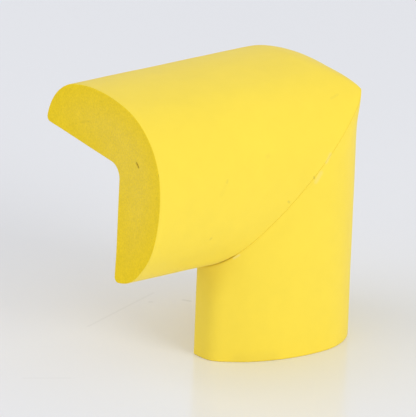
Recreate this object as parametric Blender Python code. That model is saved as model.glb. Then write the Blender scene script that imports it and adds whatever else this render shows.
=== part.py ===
"""Corner protector for furniture, made from one length of moulded foam strip.

The strip has an L-shaped section with a rounded back. A V-notch is cut through
one of its arms, the strip is folded square at the notch, and the two faces of
the cut are glued together. The cut arm ends up in front, with the seam across
it. The other arm is whole and bends round the top corner.

Axes: the furniture's upright edge runs up +Z and its top edge runs along -X.
The origin is on that upright edge at the foot of the standing leg. +Y points
into the furniture, away from the arms in front. Sizes are in metres.
"""

import math

import bmesh
import bpy

MM = 0.001

# Section of the strip
ARM_LENGTH = 22.5 * MM  # inner face of each arm, from the inner corner to the tip
THICKNESS = 12.5 * MM  # through an arm at its crest
CREST_OFFSET = 3.4 * MM  # from the inner corner to the crest, along the arm
FLANK_RADIUS = 33.0 * MM  # slow curve over the outside of an arm
CORNER_RADIUS = 15.2 * MM  # outside of the L's corner
TIP_RADIUS = 9.7 * MM  # round outer edge of each tip
INNER_FILLET = 3.2 * MM  # inside of the L's corner
SPLAY = math.radians(7.8)  # the uncut arm stands open by this much

# Legs, measured along the furniture's edges
TOP_LEG = 41.8 * MM
STANDING_LEG = 40.8 * MM

# Fold at the top corner. Angles are taken round the section's inner corner,
# from 0 at the uncut arm to 270 degrees at the cut arm's tip.
NOTCH_END = math.radians(134.5)  # here the seam stops and the bend starts
FULL_BEND = math.radians(65.0)  # from here to the tip the arm bends freely
BEND_RATIO = 0.935  # bend radius of the skin, as a share of its height
BEND_EASE = 2.65  # how fast the bend takes over from the sharp seam

# Seam and the foam that the fold squeezes out beside it
SEAM_DEPTH = 0.45 * MM
SEAM_HALF_WIDTH = 0.3 * MM
SEAM_FADE = math.radians(12.0)  # the seam closes over this angle at its upper end
SEAM_INNER_FADE = 3.0 * MM  # and over this length at the inner corner
SWELL_HEIGHT = 1.0 * MM
SWELL_CENTRE = math.radians(143.0)
SWELL_SPREAD = math.radians(31.0)
SWELL_REACH = 6.1 * MM
SWELL_DIRECTION = (0.3, -0.9, 0.3)

# Half of the strip that the fold changes: its bend, and the swell beyond that
FOLD_REACH = THICKNESS + SWELL_REACH

# Angles round the inner corner
DIAGONAL = math.radians(135)  # the outermost point of the L's corner
OPEN_SIDE = math.radians(-45)  # the middle of the notch, where angles wrap

# Facets
CORNER_STEPS = 16
FLANK_STEPS = 9
TIP_STEPS = 8
FILLET_STEPS = 6
FACE_STEPS = 3
FOLD_STATIONS = 6  # on each side of the seam
STATION_CROWDING = 1.5  # above 1, stations lie closer together at the seam
SHARP_EDGE = math.radians(35)  # edges steeper than this are shaded sharp

FOAM_COLOUR = (0.98, 0.76, 0.09, 1.0)
FOAM_ROUGHNESS = 0.6


def arc(centre, radius, start, end, steps):
    """Points on an arc, both ends included."""
    angles = [start + (end - start) * i / steps for i in range(steps + 1)]
    return [
        (centre[0] + radius * math.cos(a), centre[1] + radius * math.sin(a))
        for a in angles
    ]


def polar(point):
    """Radius and angle round the inner corner, from 0 at the uncut arm."""
    radius = math.hypot(*point)
    angle = math.atan2(point[1], point[0])
    if angle < OPEN_SIDE:
        angle += 2 * math.pi
    return radius, angle


def half_outline():
    """The outside of an unsplayed arm, from the L's corner to the arm's tip.

    Each point is (back, out): how far it lies along the uncut arm, and how far
    it stands out from that arm's inner face. Three arcs meet in line.
    """
    flank = (CREST_OFFSET, THICKNESS - FLANK_RADIUS)
    # The corner arc's centre is (s, -s), and the two arcs touch from inside
    half_sum = (flank[0] - flank[1]) / 2
    gap = (FLANK_RADIUS - CORNER_RADIUS) ** 2 - (flank[0] + flank[1]) ** 2 / 2
    s = half_sum - math.sqrt(max(gap, 0) / 2)
    corner = (s, -s)
    tip_back = ARM_LENGTH - TIP_RADIUS
    rise = math.sqrt((FLANK_RADIUS - TIP_RADIUS) ** 2 - (tip_back - flank[0]) ** 2)
    tip = (tip_back, flank[1] + rise)
    corner_join = math.atan2(corner[1] - flank[1], corner[0] - flank[0])
    tip_join = math.atan2(tip[1] - flank[1], tip[0] - flank[0])
    points = arc(corner, CORNER_RADIUS, DIAGONAL, corner_join, CORNER_STEPS)
    points += arc(flank, FLANK_RADIUS, corner_join, tip_join, FLANK_STEPS)[1:]
    points += arc(tip, TIP_RADIUS, tip_join, 0.0, TIP_STEPS)[1:]
    points.append((ARM_LENGTH, 0.0))
    return points


def splayed(point):
    """Swings a point of the uncut arm open, from nothing at the L's corner."""
    radius, angle = polar(point)
    angle += SPLAY * (1 - angle / DIAGONAL)
    return radius * math.cos(angle), radius * math.sin(angle)


def inner_outline():
    """Both inner faces and the fillet between them, from the cut arm's tip on."""
    opening = math.pi / 2 + SPLAY
    setback = INNER_FILLET / math.tan(opening / 2)
    centre_distance = INNER_FILLET / math.sin(opening / 2)
    bisector = SPLAY - opening / 2
    centre = (
        centre_distance * math.cos(bisector),
        centre_distance * math.sin(bisector),
    )
    cut_face = [
        (0.0, -ARM_LENGTH + (ARM_LENGTH - setback) * i / FACE_STEPS)
        for i in range(1, FACE_STEPS)
    ]
    fillet = arc(centre, INNER_FILLET, math.pi, math.pi / 2 + SPLAY, FILLET_STEPS)
    whole_face = [
        (
            (setback + (ARM_LENGTH - setback) * i / FACE_STEPS) * math.cos(SPLAY),
            (setback + (ARM_LENGTH - setback) * i / FACE_STEPS) * math.sin(SPLAY),
        )
        for i in range(1, FACE_STEPS)
    ]
    return cut_face + fillet + whole_face


def section():
    """The closed section as (back, out) points, and how many are on its outside."""
    half = half_outline()
    uncut_arm = [splayed(point) for point in half]
    cut_arm = [(-out, -back) for back, out in half]
    outside = uncut_arm[::-1] + cut_arm[1:]
    return outside + inner_outline(), len(outside)


def inward(points, index):
    """Unit vector into the foam at one point of the section."""
    before = points[index - 1]
    after = points[(index + 1) % len(points)]
    along = (after[0] - before[0], after[1] - before[1])
    length = math.hypot(*along)
    return -along[1] / length, along[0] / length


def ease(x):
    """Smooth rise from 0 to 1."""
    x = min(max(x, 0.0), 1.0)
    return x * x * (3 - 2 * x)


def bend_radius(point, outside):
    """Radius that this point's line takes round the fold: 0 along the seam."""
    height = max(point[1], 0.0)
    if not outside:
        return BEND_RATIO * height
    share = (NOTCH_END - polar(point)[1]) / (NOTCH_END - FULL_BEND)
    share = min(max(share, 0.0), 1.0)
    return BEND_RATIO * height * (1 - (1 - share) ** BEND_EASE)


def seam_depth(point, outside):
    """How deep the seam is cut at this point. The uncut arm has no seam."""
    if outside:
        return SEAM_DEPTH * ease((polar(point)[1] - NOTCH_END) / SEAM_FADE)
    if point[0] > SEAM_HALF_WIDTH:
        return 0.0
    return SEAM_DEPTH * ease((-point[1] - INNER_FILLET) / SEAM_INNER_FADE)


def swell(point, outside):
    """Height of the squeezed foam at the seam, on this line of the section."""
    if not outside:
        return 0.0
    offset = (polar(point)[1] - SWELL_CENTRE) / SWELL_SPREAD
    return SWELL_HEIGHT * math.exp(-(offset**2))


def on_strip(point, distance, radius):
    """Where a section point lies at a signed distance along the strip.

    The distance is 0 at the fold, below 0 on the top leg and above 0 on the
    standing leg, measured along the point's own line.
    """
    back, out = point
    quarter = radius * math.pi / 4
    reach = abs(distance)
    side = 1 if distance >= 0 else -1
    turn = min(reach, quarter) / radius if radius > 0 else math.pi / 4
    angle = math.pi / 4 + side * turn
    x = out - radius + radius * math.sin(angle)
    z = out - radius + radius * math.cos(angle)
    straight = max(reach - quarter, 0.0)
    if side < 0:
        x -= straight
    else:
        z -= straight
    return [x, back, STANDING_LEG + z]


def stations():
    """Places along half of the fold, as shares of its reach, nearest first."""
    shares = [(i / FOLD_STATIONS) ** STATION_CROWDING for i in range(FOLD_STATIONS + 1)]
    return shares[1:]


def strip_rings():
    """One ring of points for each station, from the top leg's end to the foot."""
    points, outside_count = section()
    seam_share = SEAM_HALF_WIDTH / FOLD_REACH
    half = [seam_share] + stations()
    shares = [-share for share in half[::-1]] + [0.0] + half
    rings = [[(-TOP_LEG, back, STANDING_LEG + out) for back, out in points]]
    for share in shares:
        ring = []
        for index, point in enumerate(points):
            outside = index < outside_count
            radius = bend_radius(point, outside)
            reach = FOLD_REACH - radius + radius * math.pi / 4
            place = point
            if share == 0.0:
                into = inward(points, index)
                depth = seam_depth(point, outside)
                place = (point[0] + into[0] * depth, point[1] + into[1] * depth)
            distance = share * reach
            spot = on_strip(place, distance, radius)
            lift = swell(point, outside) * math.exp(-((distance / SWELL_REACH) ** 2))
            ring.append(
                tuple(c + lift * d for c, d in zip(spot, SWELL_DIRECTION, strict=True))
            )
        rings.append(ring)
    rings.append([(out, back, 0.0) for back, out in points])
    return rings


def foam_material():
    material = bpy.data.materials.new("yellow_foam")
    material.use_nodes = True
    shader = material.node_tree.nodes["Principled BSDF"]
    shader.inputs["Base Color"].default_value = FOAM_COLOUR
    shader.inputs["Roughness"].default_value = FOAM_ROUGHNESS
    shader.inputs["Metallic"].default_value = 0.0
    return material


def build_corner_guard():
    """Skins the rings and closes the strip with its two cut ends."""
    mesh = bpy.data.meshes.new("corner_guard")
    bm = bmesh.new()
    rings = [[bm.verts.new(place) for place in ring] for ring in strip_rings()]
    for ring, following in zip(rings, rings[1:]):
        for index in range(len(ring)):
            after = (index + 1) % len(ring)
            bm.faces.new(
                (ring[index], ring[after], following[after], following[index])
            )
    cut_ends = [bm.faces.new(rings[0][::-1]), bm.faces.new(rings[-1])]
    bmesh.ops.recalc_face_normals(bm, faces=bm.faces)
    for face in bm.faces:
        face.smooth = face not in cut_ends
    bm.to_mesh(mesh)
    bm.free()
    mesh.set_sharp_from_angle(angle=SHARP_EDGE)
    mesh.materials.append(foam_material())
    guard = bpy.data.objects.new("corner_guard", mesh)
    bpy.context.scene.collection.objects.link(guard)
    return guard


for leftover in list(bpy.data.objects):
    bpy.data.objects.remove(leftover, do_unlink=True)
build_corner_guard()
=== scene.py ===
# %% [markdown]
# # A foam corner guard, from its section to its skin
#
# The object is a corner protector for furniture: one length of yellow foam
# strip, cut with a V-notch, folded square and glued. This lesson dresses the
# plain solid that comes with it. Each step says what the real thing is, how
# it could be made in Blender, and why one way was chosen.
#
# The imported solid comes first, because everything else has to lie where it
# lies. Its box is kept.

# %% Load the frame
import math

import bpy
import numpy as np
from mathutils import Matrix, Vector, noise
from mathutils.geometry import delaunay_2d_cdt


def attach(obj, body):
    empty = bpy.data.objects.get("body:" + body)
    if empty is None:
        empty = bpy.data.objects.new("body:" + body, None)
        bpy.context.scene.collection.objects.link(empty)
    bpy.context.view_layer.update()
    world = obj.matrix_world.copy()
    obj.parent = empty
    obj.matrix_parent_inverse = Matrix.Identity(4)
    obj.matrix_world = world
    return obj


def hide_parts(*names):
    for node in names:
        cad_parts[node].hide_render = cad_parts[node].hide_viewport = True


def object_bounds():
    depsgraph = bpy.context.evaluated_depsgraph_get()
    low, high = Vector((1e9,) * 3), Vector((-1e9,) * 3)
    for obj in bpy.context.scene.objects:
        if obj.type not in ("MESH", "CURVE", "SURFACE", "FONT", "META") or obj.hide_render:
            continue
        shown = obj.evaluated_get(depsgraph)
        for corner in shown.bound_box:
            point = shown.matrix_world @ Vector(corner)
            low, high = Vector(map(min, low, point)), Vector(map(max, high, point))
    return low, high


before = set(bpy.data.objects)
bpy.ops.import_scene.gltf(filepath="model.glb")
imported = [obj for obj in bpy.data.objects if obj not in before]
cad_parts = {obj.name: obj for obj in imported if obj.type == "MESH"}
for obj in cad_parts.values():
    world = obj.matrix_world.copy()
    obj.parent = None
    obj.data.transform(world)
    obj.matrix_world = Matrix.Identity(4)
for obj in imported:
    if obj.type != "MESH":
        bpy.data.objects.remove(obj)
MM = 0.001
cad_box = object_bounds()
cad_size = (cad_box[1] - cad_box[0]) / MM
print("solid, mm:", [round(side, 2) for side in cad_size])

# %% [markdown]
# ## The camera
#
# The picture was taken from the left, a little above the guard, with a long
# lens. A long lens keeps parallel edges nearly parallel, so it has to stand
# far off. The camera could be turned by hand until it looks right. Here its
# angles are written down instead, and its three axes are worked out from
# them, so that each number can be changed by itself.

# %% Camera
VIEW_AZIMUTH = math.radians(-38.59)
VIEW_ELEVATION = math.radians(19.53)
VIEW_ROLL = math.radians(2.16)
VIEW_DISTANCE = 1.4886
VIEW_CENTRE = Vector((-8.7, 4.35, 21.75)) * MM
VIEW_SIDESTEP = -6.38 * MM
VIEW_RISE = 3.07 * MM
LENS = 680.2  # mm, on Blender's 36 mm sensor
NEAREST_SEEN = 0.01
FARTHEST_SEEN = 12.0


def look_from(azimuth, elevation, roll):
    """The camera's right, up and forward directions."""
    forward = Vector(
        (
            -math.sin(azimuth) * math.cos(elevation),
            math.cos(azimuth) * math.cos(elevation),
            -math.sin(elevation),
        )
    )
    right = Vector((math.cos(azimuth), math.sin(azimuth), 0.0))
    up = right.cross(forward)
    tilted_right = math.cos(roll) * right + math.sin(roll) * up
    return tilted_right, tilted_right.cross(forward), forward


def place_camera():
    right, up, forward = look_from(VIEW_AZIMUTH, VIEW_ELEVATION, VIEW_ROLL)
    camera = bpy.data.objects.new("camera", bpy.data.cameras.new("camera"))
    bpy.context.scene.collection.objects.link(camera)
    camera.data.lens = LENS
    camera.data.clip_start = NEAREST_SEEN
    camera.data.clip_end = FARTHEST_SEEN
    spot = VIEW_CENTRE - VIEW_DISTANCE * forward
    spot += VIEW_SIDESTEP * right + VIEW_RISE * up
    turned = Matrix((right, up, -forward)).transposed()
    camera.matrix_world = Matrix.Translation(spot) @ turned.to_4x4()
    bpy.context.scene.camera = camera
    return camera


camera = place_camera()
print("camera at, m:", [round(c, 3) for c in camera.matrix_world.translation])

# %% [markdown]
# ## The section of the strip
#
# The strip is moulded, so its section is the same all along: an L with a
# rounded back. Arcs that run into each other make its outside, and every arc
# is found from the two it touches. In the solid both arms are alike, and the
# uncut one stands open a little. A close look at the cut end in the picture
# shows more: the uncut arm is fullest nearer its middle, the cut arm leans in
# by a degree, and the inner edge of each tip is a little round. None of it
# comes to half a millimetre, so it is drawn here and not in the solid. Points
# lie close enough together that no facet shows.

# %% Sizes of the section
ARM_LENGTH = 22.9 * MM
THICKNESS = 12.5 * MM
WHOLE_CREST = 5.5 * MM  # from the inner corner to the thickest place of the uncut arm
CUT_CREST = 3.7 * MM  # the same on the cut arm
FLANK_RADIUS = 30.5 * MM
CORNER_RADIUS = 14.3 * MM
TIP_RADIUS = 11.3 * MM
TIP_EDGE_RADIUS = 1.0 * MM
INNER_FILLET = 2.8 * MM
SPLAY = math.radians(6.5)
LEAN = math.radians(0.9)
DIAGONAL = math.radians(135)
OPEN_SIDE = math.radians(-45)
POINT_SPACING = 0.42 * MM
FINE_SPACING = 0.15 * MM


# %% Arcs and lines
def arc(centre, radius, start, end, spacing=POINT_SPACING):
    steps = max(2, math.ceil(abs(end - start) * radius / spacing))
    angles = np.linspace(start, end, steps + 1)
    return np.column_stack(
        [centre[0] + radius * np.cos(angles), centre[1] + radius * np.sin(angles)]
    )


def straight(start, end, spacing=POINT_SPACING):
    steps = max(1, math.ceil(math.dist(start, end) / spacing))
    return np.linspace(start, end, steps + 1)


def direction(start, end):
    """Angle of the line from one point to another."""
    return math.atan2(end[1] - start[1], end[0] - start[0])


def mirrored(points):
    """Turns one arm into the other: (back, out) becomes (-out, -back)."""
    return -np.asarray(points)[..., ::-1]


def angle_round(points):
    """Angle round the inner corner: 0 at the uncut arm, 270 degrees at the cut one."""
    angles = np.arctan2(points[:, 1], points[:, 0])
    return np.where(angles < OPEN_SIDE, angles + 2 * math.pi, angles)


sample = arc((0, 0), CORNER_RADIUS, 0, 1)
print("the corner's arc takes", len(sample), "points a radian")


# %% Outline of the arms
def corner_centre():
    """Centre of the corner's arc, which runs into the flank arcs of both arms."""
    whole = np.array([WHOLE_CREST, THICKNESS - FLANK_RADIUS])
    across = mirrored([CUT_CREST, THICKNESS - FLANK_RADIUS]) - whole
    span = math.hypot(*across)
    rise = math.sqrt((FLANK_RADIUS - CORNER_RADIUS) ** 2 - span**2 / 4)
    return whole + across / 2 + rise / span * np.array([-across[1], across[0]])


def arm_outside(corner, crest):
    """(back, out) points from the L's corner to the arm's tip and its inner edge."""
    flank = (crest, THICKNESS - FLANK_RADIUS)
    tip_back = ARM_LENGTH - TIP_RADIUS
    rise = math.sqrt((FLANK_RADIUS - TIP_RADIUS) ** 2 - (tip_back - crest) ** 2)
    tip = (tip_back, flank[1] + rise)
    reach = (TIP_RADIUS - TIP_EDGE_RADIUS) ** 2 - (TIP_EDGE_RADIUS - tip[1]) ** 2
    edge = (tip_back + math.sqrt(reach), TIP_EDGE_RADIUS)
    bends = [direction(flank, corner), direction(flank, tip), direction(tip, edge)]
    return np.vstack(
        [
            arc(corner, CORNER_RADIUS, DIAGONAL, bends[0]),
            arc(flank, FLANK_RADIUS, bends[0], bends[1])[1:],
            arc(tip, TIP_RADIUS, bends[1], bends[2])[1:],
            arc(edge, TIP_EDGE_RADIUS, bends[2], -math.pi / 2, FINE_SPACING)[1:],
        ]
    )


def swing(points, amount):
    """Turns an arm outwards, from nothing at the L's corner to the amount at its tip."""
    radii = np.hypot(points[:, 0], points[:, 1])
    angles = angle_round(points)
    angles = angles + amount * np.maximum(1 - angles / DIAGONAL, 0.0)
    return np.column_stack([radii * np.cos(angles), radii * np.sin(angles)])


def inside_faces(cut_end, whole_end):
    """The two inner faces and the fillet between them, without their outer ends."""
    opening = math.pi / 2 + SPLAY - LEAN
    setback = INNER_FILLET / math.tan(opening / 2)
    reach = INNER_FILLET / math.sin(opening / 2)
    bisector = SPLAY - opening / 2
    centre = (reach * math.cos(bisector), reach * math.sin(bisector))
    cut_way = np.array([math.sin(LEAN), -math.cos(LEAN)])
    whole_way = np.array([math.cos(SPLAY), math.sin(SPLAY)])
    return np.vstack(
        [
            straight(cut_end, setback * cut_way)[1:-1],
            arc(centre, INNER_FILLET, math.pi + LEAN, math.pi / 2 + SPLAY),
            straight(setback * whole_way, whole_end)[1:-1],
        ]
    )


corner = corner_centre()
whole_arm = swing(arm_outside(corner, WHOLE_CREST), SPLAY)
cut_arm = mirrored(swing(arm_outside(mirrored(corner), CUT_CREST), -LEAN))
outside_part = np.vstack([whole_arm[::-1], cut_arm[1:]])
outline = np.vstack([outside_part, inside_faces(cut_arm[-1], whole_arm[-1])])
is_outside = np.arange(len(outline)) < len(outside_part)
angles_round = angle_round(outline)
along = np.roll(outline, -1, axis=0) - np.roll(outline, 1, axis=0)
inwards = np.column_stack([-along[:, 1], along[:, 0]])
inwards /= np.linalg.norm(inwards, axis=1)[:, None]
print("section:", len(outline), "points,", len(outside_part), "of them on the skin")

# %% [markdown]
# ## The fold
#
# The strip is folded square at the notch. On the cut arm the two faces of the
# notch meet in a sharp seam, and on the uncut arm the skin bends round the
# corner in a curve that opens out towards the arm's tip. Bending a straight
# mesh with a modifier would stretch the skin at the seam. So each point of
# the section gets its own line along the strip, and its own bend radius:
# nothing at the seam, and more the further it lies from it. The fold also
# squeezes a low swelling of foam out beside the upper end of the seam.

# %% Sizes of the fold
TOP_LEG = 41.8 * MM
STANDING_LEG = 40.8 * MM
NOTCH_END = math.radians(133.0)
FULL_BEND = math.radians(13.5)
BEND_RATIO = 0.948
BEND_EASE = 4.0
SWELL_HEIGHT = 0.8 * MM
SWELL_CENTRE = math.radians(140.9)
SWELL_SPREAD = math.radians(20.7)
SWELL_REACH = 4.8 * MM
SWELL_DIRECTION = np.array([0.3, -0.9, 0.3])
FOLD_REACH = THICKNESS + SWELL_REACH


# %% Lines along the strip
def ease(x):
    x = np.clip(x, 0.0, 1.0)
    return x * x * (3 - 2 * x)


def hump(centre, spread):
    """1 at an angle round the section, and falling smoothly to both sides of it."""
    return np.exp(-(((angles_round - centre) / spread) ** 2))


def bend_radii():
    height = np.maximum(outline[:, 1], 0.0)
    share = np.clip((NOTCH_END - angles_round) / (NOTCH_END - FULL_BEND), 0.0, 1.0)
    eased = np.where(is_outside, 1 - (1 - share) ** BEND_EASE, 1.0)
    return BEND_RATIO * height * eased


radii = bend_radii()
quarters = radii * math.pi / 4
swells = np.where(is_outside, SWELL_HEIGHT * hump(SWELL_CENTRE, SWELL_SPREAD), 0.0)


def lay_on_strip(section, distances):
    """3-D places of section points, each at its own signed distance from the fold."""
    back, out = section[:, 0], section[:, 1]
    side = np.where(distances < 0, -1.0, 1.0)
    reach = np.abs(distances)
    turn = np.full(len(out), math.pi / 4)
    bent = radii > 0
    turn[bent] = np.minimum(reach, quarters)[bent] / radii[bent]
    turned = math.pi / 4 + side * turn
    rest = np.maximum(reach - quarters, 0.0)
    x = out - radii + radii * np.sin(turned) - np.where(side < 0, rest, 0.0)
    z = out - radii + radii * np.cos(turned) - np.where(side > 0, rest, 0.0)
    lift = swells * np.exp(-((distances / SWELL_REACH) ** 2))
    places = np.column_stack([x, back, STANDING_LEG + z])
    return places + lift[:, None] * SWELL_DIRECTION


def length_to_end(section, leg):
    """How far the leg's cut end lies from the fold, along each point's own line."""
    return leg + section[:, 1] - radii + quarters


print("bend radius at the uncut arm, mm:", round(float(radii.max() / MM), 2))

# %% [markdown]
# ## The glued seam
#
# Where the two cut faces meet, the skin rolls over into the joint. It is a
# slit with two rounded lips. At the cut arm's tip the glue has let go and the
# slit stands open, a blob of glue closes it for a millimetre or so above
# that, and from there up it is a hairline. A bump map would look right only
# from the front, so the slit is real: rings of points crowd together at the
# fold and go down into it.

# %% Sizes of the seam
SEAM_FADE = math.radians(10.0)
SEAM_INNER_FADE = 3.0 * MM
LIP_RADIUS = 0.13 * MM
OPEN_LIP_RADIUS = 0.26 * MM
HALF_GAP = 0.012 * MM
OPEN_HALF_GAP = 0.19 * MM
SLIT_DEPTH = 0.7 * MM
OPEN_SLIT_DEPTH = 2.2 * MM
OPEN_FROM = math.radians(248.0)
GLUE_FROM = math.radians(245.5)
GLUE_SLIT_DEPTH = 0.12 * MM
OPEN_FADE = math.radians(3.0)
GLUE_FADE = math.radians(1.0)
INNER_OPENNESS = 0.6  # of the slit where it runs over the inner face
LIP_STEPS = 6
FOLD_STEPS = 26
CROWDING = 1.55


# %% Shape of the slit
def seam_strength():
    """1 where the seam runs, 0 on the uncut arm, for every point of the section."""
    on_skin = ease((angles_round - NOTCH_END) / SEAM_FADE)
    on_face = ease((-outline[:, 1] - INNER_FILLET) / SEAM_INNER_FADE)
    return np.where(is_outside, on_skin, on_face)


strength = seam_strength()
openness = ease((angles_round - OPEN_FROM) / OPEN_FADE)
openness = np.where(is_outside, openness, INNER_OPENNESS)
glue_starts = ease((angles_round - GLUE_FROM) / GLUE_FADE)
glue_lasts = ease((OPEN_FROM - angles_round) / GLUE_FADE)
glued = np.where(is_outside, glue_starts * glue_lasts, 0.0)
half_gap = HALF_GAP + (OPEN_HALF_GAP - HALF_GAP) * openness
lip = LIP_RADIUS + (OPEN_LIP_RADIUS - LIP_RADIUS) * openness
slit_depth = SLIT_DEPTH + (OPEN_SLIT_DEPTH - SLIT_DEPTH) * openness
slit_depth = (slit_depth + (GLUE_SLIT_DEPTH - slit_depth) * glued) * strength
lip_depth = np.minimum(lip, slit_depth) * strength
print("slit, mm deep:", round(float(slit_depth.max() / MM), 2))


# %% Stations on one side of the fold
def fold_stations():
    """(distance, depth) arrays for each ring beside the fold, nearest first."""
    full_reach = FOLD_REACH - radii + quarters
    rows = []
    for step in range(LIP_STEPS + 1):
        turn = step / LIP_STEPS * math.pi / 2
        distance = half_gap + lip * (1 - math.cos(turn))
        rows.append((distance, lip_depth * (1 - math.sin(turn))))
    last = half_gap + lip
    for step in range(1, FOLD_STEPS + 1):
        share = (step / FOLD_STEPS) ** CROWDING
        rows.append((last + share * (full_reach - last), np.zeros(len(outline))))
    return rows


stations = fold_stations()
print("rings beside the fold:", len(stations), "on each side")

# %% [markdown]
# ## Skinning the strip
#
# The rings run from one cut end to the other. Near each end the knife has
# left a crisp edge, and even a crisp edge on foam is about a quarter of a
# millimetre round, which is what catches the light there. Each ring is the
# section, moved inwards where the slit, the edge or a slight unevenness of
# the foam asks for it. Real foam is never as true as its drawing: the cut
# arm's tip is fuller on the standing leg, and on the top leg it is thinner
# and curls in a little. Both come in over the first 8 mm from the fold.

# %% Sizes of the legs and ends
LEG_SPACING = 0.95 * MM
CUT_EDGE_RADIUS = 0.22 * MM
CUT_EDGE_STEPS = 4
WAVE_HEIGHT = 0.045 * MM
WAVE_LENGTH = 9.0 * MM
RIPPLE_HEIGHT = 0.012 * MM
RIPPLE_LENGTH = 2.6 * MM
SETTLE_REACH = 8.0 * MM
FOOT_FULLNESS = 0.85 * MM
FULL_CENTRE = math.radians(258.0)
FULL_SPREAD = math.radians(6.8)
TOP_TAPER = 0.45 * MM
TAPER_CENTRE = math.radians(246.0)
TAPER_SPREAD = math.radians(9.0)
TIP_CURL = 0.2 * MM
CURL_LENGTH = 8.0 * MM


# %% Rings of the strip
def settled(distances):
    """The section at these distances from the fold, where each leg has its own tip."""
    foot = ease(distances / SETTLE_REACH)
    top = ease(-distances / SETTLE_REACH)
    full = FOOT_FULLNESS * hump(FULL_CENTRE, FULL_SPREAD) * foot
    thin = TOP_TAPER * hump(TAPER_CENTRE, TAPER_SPREAD) * top
    section = outline + inwards * np.where(is_outside, thin - full, 0.0)[:, None]
    from_tip = (ARM_LENGTH + outline[:, 1]) / CURL_LENGTH
    section[:, 0] += TIP_CURL * ease(1 - from_tip) * top
    return section


def unevenness(places):
    """How far the skin lies in or out of true, from smooth repeatable noise."""
    return np.array(
        [
            WAVE_HEIGHT * noise.noise(Vector(place) / WAVE_LENGTH)
            + RIPPLE_HEIGHT * noise.noise(Vector(place) / RIPPLE_LENGTH)
            for place in places
        ]
    )


def ring_at(distances, depth):
    """One ring of the skin, with its unevenness added to the given depth."""
    section = settled(distances)
    offset = unevenness(lay_on_strip(section, distances)) + depth
    return lay_on_strip(section + inwards * offset[:, None], distances), depth


def leg_rings(side, leg):
    """Rings from the end of the fold to the leg's cut end, its round edge included."""
    start = stations[-1][0]
    uncut = settled(np.full(len(outline), side * SETTLE_REACH))
    end = length_to_end(uncut, leg) - CUT_EDGE_RADIUS
    steps = math.ceil(float((end - start).max()) / LEG_SPACING)
    rings = []
    for step in range(1, steps + 1):
        distances = start + (end - start) * step / steps
        rings.append(ring_at(side * distances, np.zeros(len(outline))))
    wave = unevenness(lay_on_strip(uncut, side * end))
    for step in range(1, CUT_EDGE_STEPS + 1):
        turn = step / CUT_EDGE_STEPS * math.pi / 2
        inset = CUT_EDGE_RADIUS * (1 - math.cos(turn))
        section = uncut + inwards * (wave + inset)[:, None]
        setback = CUT_EDGE_RADIUS * (1 - math.sin(turn))
        distances = length_to_end(section, leg) - setback
        places = lay_on_strip(section, side * distances)
        rings.append((places, np.zeros(len(outline))))
    return rings


def strip_rings():
    """Rings as (places, depth in the slit), from end to end."""
    before = [ring_at(-distance, depth) for distance, depth in stations]
    after = [ring_at(distance, depth) for distance, depth in stations]
    bottom = ring_at(np.zeros(len(outline)), slit_depth)
    top = leg_rings(-1.0, TOP_LEG)
    foot = leg_rings(1.0, STANDING_LEG)
    return top[::-1] + before[::-1] + [bottom] + after + foot


rings = strip_rings()
seam_ring = len(rings) // 2
print("rings:", len(rings), "of", len(outline), "points")

# %% [markdown]
# ## The cut ends
#
# A knife went straight through the foam, so each end is flat but not smooth:
# a few cells stand open as pits. A single face with many corners would shade
# badly and could hold no pit. The end is filled with triangles instead, by
# Blender's constrained Delaunay triangulation, and their points are closer
# together at the rim and round the pit. Each point also keeps how much the
# foam was squeezed there in the mould: most at the rim and towards both tips,
# least in the thick of the corner. Its tint depends on that.

# %% Sizes of the ends
FILL_SPACING = 0.62 * MM
RIM_INSETS = (0.15 * MM, 0.35 * MM, 0.6 * MM, 0.95 * MM, 1.4 * MM)
RIM_CLEARANCE = 0.9  # share of its inset by which a rim point clears the other side
END_WAVE_HEIGHT = 0.03 * MM
END_WAVE_LENGTH = 4.0 * MM
FLAT_RIM = 1.5 * MM  # the waves die away over this width
PIT_PLACE = (-5.37 * MM, 1.88 * MM)  # (back, out) on the end face
PIT_HALF_SIZE = (0.2 * MM, 0.55 * MM)
PIT_TILT = math.radians(-42)
PIT_DEPTH = 0.55 * MM
PIT_EDGE = 1.3  # where the pit stops, in half sizes
PIT_PATCH = 2.2  # how far the close points round it reach, in half sizes
PIT_SPACING = 0.09 * MM
KEEP_INSIDE = 1  # asks the triangulation for the triangles inside the loop only
SAME_POINT = 1e-6  # mm
RIM_WIDTH = 6.0 * MM
RIM_SQUEEZE = 0.5
LOOSE_CORNER = 9.0 * MM  # round the inner corner the rim is hardly squeezed
TIP_SQUEEZE_FROM = 3.0 * MM
TIP_SQUEEZE = 0.68


# %% Distances inside the section
def distance_to_loop(points, loop):
    """Distance from each point to the nearest edge of a closed loop."""
    nearest = np.full(len(points), np.inf)
    for start, end in zip(loop, np.roll(loop, -1, axis=0)):
        edge = end - start
        share = np.clip(((points - start) @ edge) / (edge @ edge), 0.0, 1.0)
        on_edge = start + share[:, None] * edge
        nearest = np.minimum(nearest, np.linalg.norm(points - on_edge, axis=1))
    return nearest


def within_loop(points, loop):
    """True for points inside a closed loop, by counting crossings to one side."""
    inside = np.zeros(len(points), bool)
    for (x0, y0), (x1, y1) in zip(loop, np.roll(loop, -1, axis=0)):
        if y0 == y1:
            continue
        crosses = (points[:, 1] < y0) != (points[:, 1] < y1)
        at = x0 + (points[:, 1] - y0) * (x1 - x0) / (y1 - y0)
        inside ^= crosses & (points[:, 0] < at)
    return inside


# %% Points that fill an end
def pit_shape(points):
    """0 outside the pit, rising to 1 at its middle."""
    offset = points - np.array(PIT_PLACE)
    c, s = math.cos(PIT_TILT), math.sin(PIT_TILT)
    across = (c * offset[:, 0] + s * offset[:, 1]) / PIT_HALF_SIZE[0]
    lengthwise = (-s * offset[:, 0] + c * offset[:, 1]) / PIT_HALF_SIZE[1]
    return ease(PIT_EDGE - np.hypot(across, lengthwise))


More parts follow.
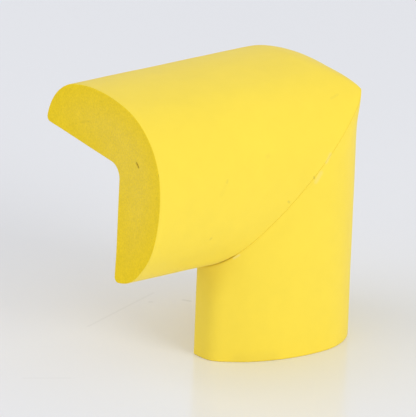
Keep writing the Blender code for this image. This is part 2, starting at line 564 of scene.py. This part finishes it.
def grid_over(low, high, spacing):
    """Points of a triangular grid over a rectangle."""
    rows = np.arange(low[1], high[1], spacing * math.sqrt(3) / 2)
    columns = np.arange(low[0], high[0], spacing)
    shift = (np.arange(len(rows)) % 2) * spacing / 2
    return np.array([(x + dx, y) for y, dx in zip(rows, shift) for x in columns])


def fill_points(loop):
    """Inner points for the triangles of one end: rim lines, grid and pit."""
    near_pit = np.array(PIT_PLACE)
    patch = PIT_PATCH * max(PIT_HALF_SIZE)
    groups = [loop + inwards * inset for inset in RIM_INSETS]
    keep = [
        group[distance_to_loop(group, loop) > RIM_CLEARANCE * inset]
        for group, inset in zip(groups, RIM_INSETS)
    ]
    grid = grid_over(loop.min(axis=0), loop.max(axis=0), FILL_SPACING)
    deep = distance_to_loop(grid, loop) > RIM_INSETS[-1] + 0.5 * FILL_SPACING
    away = np.linalg.norm(grid - near_pit, axis=1) > patch
    keep.append(grid[within_loop(grid, loop) & deep & away])
    dense = grid_over(near_pit - patch, near_pit + patch, PIT_SPACING)
    keep.append(dense[np.linalg.norm(dense - near_pit, axis=1) < patch])
    points = np.vstack(keep)
    return points[within_loop(points, loop)]


def fill_loop(loop):
    """(inner points, triangles): indices count the loop's points first."""
    inner = fill_points(loop)
    count = len(loop)
    flat = [Vector(point) / MM for point in np.vstack([loop, inner])]
    edges = [(i, (i + 1) % count) for i in range(count)]
    whole = [list(range(count))]
    made = delaunay_2d_cdt(flat, edges, whole, KEEP_INSIDE, SAME_POINT)
    source = [origins[0] for origins in made[3]]
    return inner, [[source[i] for i in face] for face in made[2]]


far_away = np.full(len(outline), SETTLE_REACH)
top_loop = settled(-far_away) + inwards * CUT_EDGE_RADIUS
foot_loop = settled(far_away) + inwards * CUT_EDGE_RADIUS
top_points, top_triangles = fill_loop(top_loop)
foot_points, foot_triangles = fill_loop(foot_loop)
print("inner points, top leg's end:", len(top_points), "foot:", len(foot_points))
print("triangles, top leg's end:", len(top_triangles), "foot:", len(foot_triangles))


# %% Both ends in place
def end_places(points, loop, face_x=None):
    """3-D places of the inner points: on the plane x = face_x, or on the floor."""
    back, out = points[:, 0], points[:, 1]
    flat = np.column_stack([out, back, np.zeros(len(out))])
    if face_x is not None:
        flat = np.column_stack([np.full(len(out), face_x), back, STANDING_LEG + out])
    rim = ease(distance_to_loop(points, loop) / FLAT_RIM)
    wave = [noise.noise(Vector(place) / END_WAVE_LENGTH) for place in flat]
    dent = END_WAVE_HEIGHT * rim * (0.5 + 0.5 * np.array(wave))
    if face_x is None:
        flat[:, 2] += dent
    else:
        flat[:, 0] += dent + PIT_DEPTH * pit_shape(points)
    return flat


def squeeze(points, depth):
    """How dense the foam is, from 0 in the thick of the corner towards 1."""
    reach = np.linalg.norm(points, axis=1)
    rim = RIM_SQUEEZE * ease(1 - depth / RIM_WIDTH) * ease(reach / LOOSE_CORNER)
    tips = (reach - TIP_SQUEEZE_FROM) / (ARM_LENGTH - TIP_SQUEEZE_FROM)
    return 1 - (1 - rim) * (1 - TIP_SQUEEZE * ease(tips))


def squeeze_inside(points, loop):
    """The squeeze at the inner points of an end."""
    return squeeze(points, CUT_EDGE_RADIUS + distance_to_loop(points, loop))


top_squeeze = squeeze_inside(top_points, top_loop)
foot_squeeze = squeeze_inside(foot_points, foot_loop)
rim_squeeze = squeeze(outline, CUT_EDGE_RADIUS)
print("squeeze of the foam, least:", round(float(top_squeeze.min()), 2))
print("squeeze of the foam, most:", round(float(top_squeeze.max()), 2))

# %% [markdown]
# ## One closed mesh
#
# Rings and ends are joined into a single closed skin, as the real guard is a
# single piece of foam. Moulded skin and cut foam are two finishes on that one
# mesh, so each face gets a material slot: the ends and the walls of the slit
# are cut foam, and all the rest is skin.

# %% Build the guard's mesh
SKIN, CUT = 0, 1


def guard_faces(first_inner):
    """All faces, with the material slot of each."""
    count = len(outline)
    faces, slots = [], []
    for row in range(len(rings) - 1):
        near_end = min(row, len(rings) - 2 - row) < CUT_EDGE_STEPS // 2
        in_slit = row in (seam_ring - 1, seam_ring)
        for i in range(count):
            after = (i + 1) % count
            a, b = row * count, (row + 1) * count
            faces.append((a + i, a + after, b + after, b + i))
            walled = in_slit and slit_depth[i] > LIP_RADIUS
            slots.append(CUT if near_end or walled else SKIN)
    last_row = (len(rings) - 1) * count
    for ring_start, inner_start, triangles, turned in (
        (0, first_inner, top_triangles, True),
        (last_row, first_inner + len(top_points), foot_triangles, False),
    ):
        for face in triangles:
            shifted = [
                ring_start + i if i < count else inner_start + i - count for i in face
            ]
            faces.append(tuple(shifted[::-1] if turned else shifted))
            slots.append(CUT)
    return faces, slots


def build_guard():
    ring_places = np.vstack([ring[0] for ring in rings])
    top_places = end_places(top_points, top_loop, -TOP_LEG)
    foot_places = end_places(foot_points, foot_loop)
    places = np.vstack([ring_places, top_places, foot_places])
    squeezed = np.concatenate([rim_squeeze] * len(rings) + [top_squeeze, foot_squeeze])
    no_slit = np.zeros(len(top_points) + len(foot_points))
    in_slit = np.concatenate([ring[1] for ring in rings] + [no_slit]) / MM
    faces, slots = guard_faces(len(ring_places))
    mesh = bpy.data.meshes.new("foam_guard")
    mesh.from_pydata(places.tolist(), [], faces)
    mesh.polygons.foreach_set("material_index", slots)
    mesh.shade_smooth()
    for name, values in (("squeezed", squeezed), ("slit_depth", in_slit)):
        kept = mesh.attributes.new(name, "FLOAT", "POINT")
        kept.data.foreach_set("value", values.astype(np.float32))
    mesh.update()
    guard = bpy.data.objects.new("foam_guard", mesh)
    bpy.context.scene.collection.objects.link(guard)
    return guard


guard = build_guard()
print("guard:", len(guard.data.vertices), "points,", len(guard.data.polygons), "faces")
print("bad geometry:", guard.data.validate(verbose=True))

# %% [markdown]
# ## Effects shared by the finishes
#
# Every surface here shows the same few things at different strengths: the
# foam's cells, a faint unevenness of tone, and small specks. Each is a shader
# node group, built once and placed in each material with its own values.
# They work in the object's own coordinates, in metres, so nothing has to be
# unwrapped and every size is a real one.


# %% Helpers for node trees
def feed(tree, socket, value):
    """Links another node's output to a socket, or sets the socket's own value."""
    if isinstance(value, bpy.types.NodeSocket):
        tree.links.new(value, socket)
    else:
        socket.default_value = value


def add(tree, kind, settings=None, **sockets):
    """Adds a node and feeds its sockets, by name or by number as in _0."""
    node = tree.nodes.new(kind)
    for name, value in (settings or {}).items():
        setattr(node, name, value)
    for name, value in sockets.items():
        socket = node.inputs[int(name[1:])] if name[0] == "_" else node.inputs[name]
        feed(tree, socket, value)
    return node


def new_effect(name, inputs, outputs):
    """An empty node group, with its sockets for numbers and vectors."""
    tree = bpy.data.node_groups.new(name, "ShaderNodeTree")
    for title, kind, value in inputs:
        socket = tree.interface.new_socket(title, in_out="INPUT", socket_type=kind)
        if value is not None:
            socket.default_value = value
    for title, kind in outputs:
        tree.interface.new_socket(title, in_out="OUTPUT", socket_type=kind)
    return tree, tree.nodes.new("NodeGroupInput"), tree.nodes.new("NodeGroupOutput")


FLOAT = "NodeSocketFloat"
VECTOR = "NodeSocketVector"


def maths(tree, operation, first, second=0.0, third=0.0, clamp=False):
    settings = {"operation": operation, "use_clamp": clamp}
    node = add(tree, "ShaderNodeMath", settings, _0=first, _1=second, _2=third)
    return node.outputs[0]


def remap(tree, value, low_in, high_in, low_out=0.0, high_out=1.0):
    """Takes one range of a value to another, smoothly, and stops at its ends."""
    node = add(tree, "ShaderNodeMapRange", {"interpolation_type": "SMOOTHSTEP"})
    for socket, given in zip(node.inputs, (value, low_in, high_in, low_out, high_out)):
        feed(tree, socket, given)
    return node.outputs["Result"]


def vector_maths(tree, operation, **sockets):
    return add(tree, "ShaderNodeVectorMath", {"operation": operation}, **sockets).outputs


print("node helpers ready")

# %% [markdown]
# ### Foam cells
#
# Closed-cell foam is made of bubbles a tenth to a quarter of a millimetre
# across. Voronoi cells are the natural pattern for them: each bubble is one
# cell and its wall is the edge. Two sizes are laid over each other, because
# one size alone looks like a net. The group gives a height for the bump and a
# shade that is lighter on the walls.


# %% Group: foam cells
SMALL_CELLS = 2.3  # how many times smaller the second pattern is
LARGE_SHARE = 0.65
SMALL_SHARE = 0.35
WALLS_FROM = 0.2  # the height at which a cell's wall begins
WALLS_TO = 0.75


def make_foam_cells():
    tree, given, result = new_effect(
        "foam_cells",
        [("Place", VECTOR, None), ("Cell Size", FLOAT, 0.2 * MM), ("Softness", FLOAT, 0.6)],
        [("Height", FLOAT), ("Shade", FLOAT)],
    )
    scale = maths(tree, "DIVIDE", 1.0, given.outputs["Cell Size"])
    small_scale = maths(tree, "MULTIPLY", scale, SMALL_CELLS)
    heights = []
    for size in (scale, small_scale):
        cells = add(
            tree,
            "ShaderNodeTexVoronoi",
            {"feature": "SMOOTH_F1"},
            Vector=given.outputs["Place"],
            Scale=size,
            Smoothness=given.outputs["Softness"],
        )
        heights.append(cells.outputs["Distance"])
    large = maths(tree, "MULTIPLY", heights[0], LARGE_SHARE)
    both = maths(tree, "MULTIPLY_ADD", heights[1], SMALL_SHARE, large)
    tree.links.new(both, result.inputs["Height"])
    tree.links.new(remap(tree, both, WALLS_FROM, WALLS_TO), result.inputs["Shade"])
    return tree


foam_cells = make_foam_cells()
print("group:", foam_cells.name)

# %% [markdown]
# ### Tone
#
# No dyed foam is one even colour. The tone of the skin drifts over a
# centimetre or so, and again over a few millimetres. On cut foam it changes
# from cell to cell as well. This group gives a number round 1 that the colour
# is multiplied by, and each material sets the size of its patches.


# %% Group: tone
TONE_DETAIL = 4.0
TONE_ROUGHNESS = 0.55


def make_tone():
    tree, given, result = new_effect(
        "tone",
        [("Place", VECTOR, None), ("Patch Size", FLOAT, 10 * MM), ("Amount", FLOAT, 0.03)],
        [("Tone", FLOAT)],
    )
    scale = maths(tree, "DIVIDE", 1.0, given.outputs["Patch Size"])
    drift = add(
        tree,
        "ShaderNodeTexNoise",
        Vector=given.outputs["Place"],
        Scale=scale,
        Detail=TONE_DETAIL,
        Roughness=TONE_ROUGHNESS,
    )
    centred = maths(tree, "SUBTRACT", drift.outputs["Fac"], 0.5)
    doubled = maths(tree, "MULTIPLY", centred, 2.0)
    tone = maths(tree, "MULTIPLY_ADD", doubled, given.outputs["Amount"], 1.0)
    tree.links.new(tone, result.inputs["Tone"])
    return tree


tone_group = make_tone()
print("group:", tone_group.name)

# %% [markdown]
# ### Marks and specks
#
# Some marks are in known places: painted shade in a pit and in a crease, a
# trace of glue, a smudge, a scratch on the board. One group draws such a mark
# as a soft stroke from one point to another. Other specks are just scattered,
# and a second group picks them from Voronoi cells by the cell's own random
# colour.


# %% Groups: one stroke, scattered specks
STROKE_CORE = 0.1  # share of a stroke's width that has its full strength
SPECK_CORE = 0.4  # the same for a speck
EMPTY_CELLS = 0.45  # share of the cells that hold no speck


def make_stroke():
    tree, given, result = new_effect(
        "stroke",
        [
            ("Place", VECTOR, None),
            ("Start", VECTOR, None),
            ("End", VECTOR, None),
            ("Width", FLOAT, 0.5 * MM),
        ],
        [("Mask", FLOAT)],
    )
    start = given.outputs["Start"]
    away = vector_maths(tree, "SUBTRACT", _0=given.outputs["Place"], _1=start)["Vector"]
    line = vector_maths(tree, "SUBTRACT", _0=given.outputs["End"], _1=start)["Vector"]
    along_line = vector_maths(tree, "DOT_PRODUCT", _0=away, _1=line)["Value"]
    squared = vector_maths(tree, "DOT_PRODUCT", _0=line, _1=line)["Value"]
    share = maths(tree, "DIVIDE", along_line, squared, clamp=True)
    nearest = vector_maths(tree, "SCALE", _0=line, _3=share)["Vector"]
    distance = vector_maths(tree, "DISTANCE", _0=away, _1=nearest)["Value"]
    widths = maths(tree, "DIVIDE", distance, given.outputs["Width"])
    mask = remap(tree, widths, STROKE_CORE, 1.0, 1.0, 0.0)
    tree.links.new(mask, result.inputs["Mask"])
    return tree


def make_specks():
    tree, given, result = new_effect(
        "specks",
        [("Place", VECTOR, None), ("Spacing", FLOAT, 3 * MM), ("Size", FLOAT, 0.1)],
        [("Mask", FLOAT)],
    )
    scale = maths(tree, "DIVIDE", 1.0, given.outputs["Spacing"])
    place = given.outputs["Place"]
    cells = add(tree, "ShaderNodeTexVoronoi", Vector=place, Scale=scale)
    split = add(tree, "ShaderNodeSeparateColor", Color=cells.outputs["Color"])
    size = maths(tree, "MULTIPLY", given.outputs["Size"], split.outputs["Red"])
    share = maths(tree, "DIVIDE", cells.outputs["Distance"], size)
    chosen = maths(tree, "GREATER_THAN", split.outputs["Green"], EMPTY_CELLS)
    round_speck = remap(tree, share, SPECK_CORE, 1.0, 1.0, 0.0)
    mask = maths(tree, "MULTIPLY", round_speck, chosen)
    tree.links.new(mask, result.inputs["Mask"])
    return tree


stroke_group = make_stroke()
speck_group = make_specks()
print("groups:", stroke_group.name, speck_group.name)


# %% Helpers that place the groups
def use(tree, group, **sockets):
    """Places a shared effect in a material."""
    node = tree.nodes.new("ShaderNodeGroup")
    node.node_tree = group
    for name, value in sockets.items():
        feed(tree, node.inputs[name.replace("_", " ")], value)
    return node


def blend(tree, share, first, second, mode="MIX"):
    """Mixes two colours by a mask."""
    node = add(tree, "ShaderNodeMix", {"data_type": "RGBA", "blend_type": mode})
    for name, value in (("Factor", share), ("A", first), ("B", second)):
        feed(tree, next(s for s in node.inputs if s.name == name and s.enabled), value)
    return next(s for s in node.outputs if s.enabled)


def new_material(name):
    """A material with its shader, and the object's own coordinates in metres."""
    material = bpy.data.materials.new(name)
    material.use_nodes = True
    tree = material.node_tree
    place = tree.nodes.new("ShaderNodeTexCoord").outputs["Object"]
    return material, tree, tree.nodes["Principled BSDF"], place


print("material helpers ready")

# %% [markdown]
# ## Moulded skin
#
# The skin is what the mould left: smooth, matt, and very slightly waxy where
# the light grazes it. Its colour carries the faint drift in tone, a few small
# smudges, painted shade in a crease on the top and along the bottom of the
# foot, and the pale traces of glue that came out of the seam. Where the skin
# rolls over into the slit, its colour is darkened a little: that is painted
# shade in the seam.
# The marks are listed as start, end, width in mm and strength.

# %% Skin finish
FOAM_YELLOW = (0.97, 0.745, 0.06, 1.0)
# brown of the smudges and specks, also used for painted shade
SMUDGE_AND_SHADE_BROWN = (0.50, 0.38, 0.06, 1.0)
DRIED_GLUE = (0.88, 0.79, 0.42, 1.0)
# painted shade: the skin's colour turns darker as it rolls down into the slit
SEAM_SHADE_TINT = (0.42, 0.34, 0.09, 1.0)
SEAM_SHADE_DEPTH = 0.3  # mm
SEAM_SHADE_AMOUNT = 0.45
SKIN_DRIFT = {"Patch_Size": 12.0 * MM, "Amount": 0.03}
SKIN_MOTTLE = {"Patch_Size": 3.0 * MM, "Amount": 0.02}
SKIN_PATTERN = {"Cell_Size": 0.22 * MM, "Softness": 0.9}
SKIN_BUMP = {"Strength": 0.12, "Distance": 0.02 * MM}
SKIN_SPECKS = {"Spacing": 4.5 * MM, "Size": 0.06}
SKIN_SPECK_AMOUNT = 0.1
SKIN_ROUGHNESS = (0.5, 0.62)  # between the cells' walls, and on them
SKIN_SPECULAR = 0.4
SKIN_SHEEN = 0.07
SHEEN_ROUGHNESS = 0.45
# Smudges, and two strokes of painted shade: a crease on the top and the foot's bottom edge.
SMUDGES_AND_PAINTED_SHADE = (
    ((-28.0, -10.7, 27.4), (-28.2, -10.8, 27.1), 0.4, 0.26),
    ((-26.0, -12.4, 38.9), (-26.1, -12.4, 38.5), 0.4, 0.14),
    ((-26.2, -12.4, 38.3), (-27.3, -12.5, 36.4), 0.9, 0.05),
    ((-16.5, -12.1, 41.7), (-16.1, -12.0, 41.8), 0.7, 0.08),
    ((-10.9, -11.9, 31.8), (-10.6, -11.9, 31.5), 0.36, 0.3),
    ((-5.3, -12.4, 35.7), (-5.2, -12.4, 35.4), 0.32, 0.5),
    # painted shade in a faint crease on the top
    ((1.4, -8.3, 48.8), (3.2, -8.0, 49.2), 0.4, 0.09),
    # painted shade along the bottom of the foot, where it meets the board
    ((-18.5, -8.3, 0.5), (-12.5, -11.0, 0.5), 2.2, 0.12),
)
GLUE_TRACES = (
    ((-19.6, -7.2, 20.7), (-18.9, -7.9, 21.4), 0.32, 0.42),
    ((-4.8, -12.4, 34.7), (-3.7, -12.5, 36.2), 0.75, 0.2),
    ((-2.5, -12.4, 38.1), (-1.6, -12.4, 39.5), 0.55, 0.25),
)


def add_marks(tree, place, colour, marks, tint):
    """Blends each mark's tint into the colour: (start, end, width, amount), in mm."""
    for start, end, width, amount in marks:
        ends = {"Start": Vector(start) * MM, "End": Vector(end) * MM}
        stroke = use(tree, stroke_group, Place=place, Width=width * MM, **ends)
        share = maths(tree, "MULTIPLY", stroke.outputs["Mask"], amount)
        colour = blend(tree, share, colour, tint)
    return colour


def attribute(tree, name):
    """A value that the mesh keeps at each point. Depths are in mm."""
    return add(tree, "ShaderNodeAttribute", {"attribute_name": name}).outputs["Fac"]


def make_moulded_skin():
    material, tree, shader, place = new_material("moulded_skin")
    drift = use(tree, tone_group, Place=place, **SKIN_DRIFT)
    mottle = use(tree, tone_group, Place=place, **SKIN_MOTTLE)
    cells = use(tree, foam_cells, Place=place, **SKIN_PATTERN)
    specks = use(tree, speck_group, Place=place, **SKIN_SPECKS)
    colour = blend(tree, 1.0, FOAM_YELLOW, drift.outputs["Tone"], "MULTIPLY")
    colour = blend(tree, 1.0, colour, mottle.outputs["Tone"], "MULTIPLY")
    faint = maths(tree, "MULTIPLY", specks.outputs["Mask"], SKIN_SPECK_AMOUNT)
    colour = blend(tree, faint, colour, SMUDGE_AND_SHADE_BROWN)
    # smudges, and painted shade in a crease and along the bottom of the foot
    colour = add_marks(tree, place, colour, SMUDGES_AND_PAINTED_SHADE, SMUDGE_AND_SHADE_BROWN)
    # Painted shade in the seam: the deeper the skin lies in the slit, the darker its
    # colour.
    depth = attribute(tree, "slit_depth")
    seam_shade = remap(tree, depth, 0.0, SEAM_SHADE_DEPTH, 0.0, SEAM_SHADE_AMOUNT)
    colour = blend(tree, seam_shade, colour, SEAM_SHADE_TINT)
    colour = add_marks(tree, place, colour, GLUE_TRACES, DRIED_GLUE)
    roughness = remap(tree, cells.outputs["Shade"], 0.0, 1.0, *SKIN_ROUGHNESS)
    bump = add(tree, "ShaderNodeBump", Height=cells.outputs["Height"], **SKIN_BUMP)
    tree.links.new(colour, shader.inputs["Base Color"])
    tree.links.new(roughness, shader.inputs["Roughness"])
    tree.links.new(bump.outputs["Normal"], shader.inputs["Normal"])
    shader.inputs["Specular IOR Level"].default_value = SKIN_SPECULAR
    shader.inputs["Sheen Weight"].default_value = SKIN_SHEEN
    shader.inputs["Sheen Roughness"].default_value = SHEEN_ROUGHNESS
    return material


moulded_skin = make_moulded_skin()
print("skin nodes:", len(moulded_skin.node_tree.nodes))

# %% [markdown]
# ## Cut foam
#
# Where the knife went through, the cells are open. The face is dull and
# mottled by the cell walls. Where the mould squeezed the foam it is denser
# and more golden, and in the thick of the corner it is paler. The squeeze kept
# at each point of the mesh tells the shader which.

# %% Cut finish
CUT_WALLS = (0.97, 0.717, 0.047, 1.0)
CUT_CELLS = (0.88, 0.652, 0.078, 1.0)
RIM_GOLD = (0.96, 0.69, 0.014, 1.0)
# brown of the specks and knife traces, also used for painted shade in the pits
CUT_MARK_AND_PIT_SHADE_BROWN = (0.30, 0.21, 0.03, 1.0)
CUT_DRIFT = {"Patch_Size": 2.5 * MM, "Amount": 0.06}
CUT_GRAIN = {"Patch_Size": 0.35 * MM, "Amount": 0.17}
CUT_PATTERN = {"Cell_Size": 0.26 * MM, "Softness": 0.35}
CUT_BUMP = {"Strength": 0.5, "Distance": 0.06 * MM}
CUT_SPECKS = {"Spacing": 1.6 * MM, "Size": 0.1}
CUT_SPECK_AMOUNT = 0.2
CUT_ROUGHNESS = 0.9
CUT_SPECULAR = 0.12
# Painted shade in two open pits of the top leg's end; the first lies in the modelled pit.
PIT_SHADE_MARKS = (
    ((-41.6, -5.0, 43.1), (-41.6, -5.7, 42.3), 0.42, 0.55),
    ((-41.7, -11.8, 42.7), (-41.7, -12.1, 42.0), 0.3, 0.6),
)
KNIFE_TRACES = (
    ((-41.8, 12.1, 46.0), (-41.8, 10.0, 46.8), 0.3, 0.1),
    ((-41.8, 10.0, 46.8), (-41.8, 8.8, 46.8), 0.3, 0.1),
)


def make_cut_foam():
    material, tree, shader, place = new_material("cut_foam")
    drift = use(tree, tone_group, Place=place, **CUT_DRIFT)
    grain = use(tree, tone_group, Place=place, **CUT_GRAIN)
    cells = use(tree, foam_cells, Place=place, **CUT_PATTERN)
    specks = use(tree, speck_group, Place=place, **CUT_SPECKS)
    colour = blend(tree, cells.outputs["Shade"], CUT_CELLS, CUT_WALLS)
    colour = blend(tree, attribute(tree, "squeezed"), colour, RIM_GOLD)
    colour = blend(tree, 1.0, colour, drift.outputs["Tone"], "MULTIPLY")
    colour = blend(tree, 1.0, colour, grain.outputs["Tone"], "MULTIPLY")
    faint = maths(tree, "MULTIPLY", specks.outputs["Mask"], CUT_SPECK_AMOUNT)
    colour = blend(tree, faint, colour, CUT_MARK_AND_PIT_SHADE_BROWN)
    # painted shade in the pits, and the knife's traces
    colour = add_marks(tree, place, colour, PIT_SHADE_MARKS + KNIFE_TRACES, CUT_MARK_AND_PIT_SHADE_BROWN)
    bump = add(tree, "ShaderNodeBump", Height=cells.outputs["Height"], **CUT_BUMP)
    tree.links.new(colour, shader.inputs["Base Color"])
    tree.links.new(bump.outputs["Normal"], shader.inputs["Normal"])
    shader.inputs["Roughness"].default_value = CUT_ROUGHNESS
    shader.inputs["Specular IOR Level"].default_value = CUT_SPECULAR
    return material


cut_foam = make_cut_foam()
guard.data.materials.append(moulded_skin)
guard.data.materials.append(cut_foam)
print("cut foam nodes:", len(cut_foam.node_tree.nodes))

# %% [markdown]
# ## Floor and light
#
# The guard stands on a pale, slightly glossy board under soft light. A large
# panel straight in front of the guard throws its soft shadow backwards, a
# weak one to the left lights the cut end, one above and behind lights the
# top, and white surroundings fill the rest. The gloss of the board gives the
# faint yellow reflection under the foot. The board has been used before, so
# it shows two fine scratches and two specks.

# %% Floor
FLOOR_HALF_WIDTH = 6.0
FLOOR_PALE = (0.88, 0.895, 0.945, 1.0)
FLOOR_SCUFF = (0.52, 0.53, 0.55, 1.0)
FLOOR_DRIFT = {"Patch_Size": 80.0 * MM, "Amount": 0.01}
FLOOR_ROUGHNESS = 0.18
FLOOR_IOR = 1.36
SCUFFS = (
    ((-30.7, 22.3, 0), (-9.0, 30.3, 0), 0.45, 0.12),
    ((-57.5, 6.7, 0), (-50.2, 2.1, 0), 0.5, 0.08),
    ((-6.4, 24.0, 0), (-5.8, 22.9, 0), 0.6, 0.3),
    ((-12.6, 26.6, 0), (-12.3, 26.5, 0), 0.6, 0.2),
)


def make_pale_board():
    material, tree, shader, place = new_material("pale_board")
    drift = use(tree, tone_group, Place=place, **FLOOR_DRIFT)
    colour = blend(tree, 1.0, FLOOR_PALE, drift.outputs["Tone"], "MULTIPLY")
    colour = add_marks(tree, place, colour, SCUFFS, FLOOR_SCUFF)
    tree.links.new(colour, shader.inputs["Base Color"])
    shader.inputs["Roughness"].default_value = FLOOR_ROUGHNESS
    shader.inputs["IOR"].default_value = FLOOR_IOR
    return material


def lay_floor():
    mesh = bpy.data.meshes.new("floor")
    w = FLOOR_HALF_WIDTH
    corners = [(-w, -w, 0), (w, -w, 0), (w, w, 0), (-w, w, 0)]
    mesh.from_pydata(corners, [], [(0, 1, 2, 3)])
    mesh.materials.append(make_pale_board())
    floor = bpy.data.objects.new("floor", mesh)
    bpy.context.scene.collection.objects.link(floor)


lay_floor()
print("floor, m wide:", 2 * FLOOR_HALF_WIDTH)

# %% Light
KEY_DIRECTION = Vector((0.13, -0.9, 0.31))
KEY_DISTANCE = 1.5
KEY_SIZE = 1.0
KEY_POWER = 9.4
SIDE_DIRECTION = Vector((-1.0, -0.1, 0.42))
SIDE_DISTANCE = 1.4
SIDE_SIZE = 0.8
SIDE_POWER = 1.05
FILL_DIRECTION = Vector((-0.6, 0.35, 0.8))
FILL_DISTANCE = 1.5
FILL_SIZE = 1.2
FILL_POWER = 3.7
SURROUND_LIGHT = 0.64
SURROUND_WHITE = (1.0, 1.0, 1.0, 1.0)
SURROUND_SEEN = (0.83, 0.84, 0.88, 1.0)


def hang_panel(name, direction, distance, size, power):
    """A round panel that faces the guard and shows neither directly nor in the gloss."""
    light = bpy.data.lights.new(name, "AREA")
    light.shape = "DISK"
    light.size = size
    light.energy = power
    panel = bpy.data.objects.new(name, light)
    bpy.context.scene.collection.objects.link(panel)
    panel.location = VIEW_CENTRE + direction.normalized() * distance
    panel.rotation_mode = "QUATERNION"
    panel.rotation_quaternion = direction.to_track_quat("Z", "Y")
    panel.visible_camera = False
    panel.visible_glossy = False


def light_surroundings():
    """White light from all round, and a calmer tone where the surroundings are seen."""
    world = bpy.data.worlds.new("surroundings")
    bpy.context.scene.world = world
    world.use_nodes = True
    tree = world.node_tree
    lit = tree.nodes["Background"]
    lit.inputs["Color"].default_value = SURROUND_WHITE
    lit.inputs["Strength"].default_value = SURROUND_LIGHT
    seen = add(tree, "ShaderNodeBackground", Color=SURROUND_SEEN, Strength=1.0)
    rays = tree.nodes.new("ShaderNodeLightPath").outputs
    direct = maths(tree, "MAXIMUM", rays["Is Camera Ray"], rays["Is Glossy Ray"])
    shown = maths(tree, "MAXIMUM", direct, rays["Is Transmission Ray"])
    chosen = tree.nodes.new("ShaderNodeMixShader")
    tree.links.new(shown, chosen.inputs[0])
    tree.links.new(lit.outputs[0], chosen.inputs[1])
    tree.links.new(seen.outputs[0], chosen.inputs[2])
    tree.links.new(chosen.outputs[0], tree.nodes["World Output"].inputs["Surface"])


hang_panel("key_panel", KEY_DIRECTION, KEY_DISTANCE, KEY_SIZE, KEY_POWER)
hang_panel("side_panel", SIDE_DIRECTION, SIDE_DISTANCE, SIDE_SIZE, SIDE_POWER)
hang_panel("fill_panel", FILL_DIRECTION, FILL_DISTANCE, FILL_SIZE, FILL_POWER)
light_surroundings()
bpy.context.scene.view_settings.view_transform = "Standard"
print("lights, W: key", KEY_POWER, "side", SIDE_POWER, "fill", FILL_POWER)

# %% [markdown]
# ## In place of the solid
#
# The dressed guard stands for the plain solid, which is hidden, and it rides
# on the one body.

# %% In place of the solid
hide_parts("corner_guard")
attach(guard, "root")

bpy.context.view_layer.update()
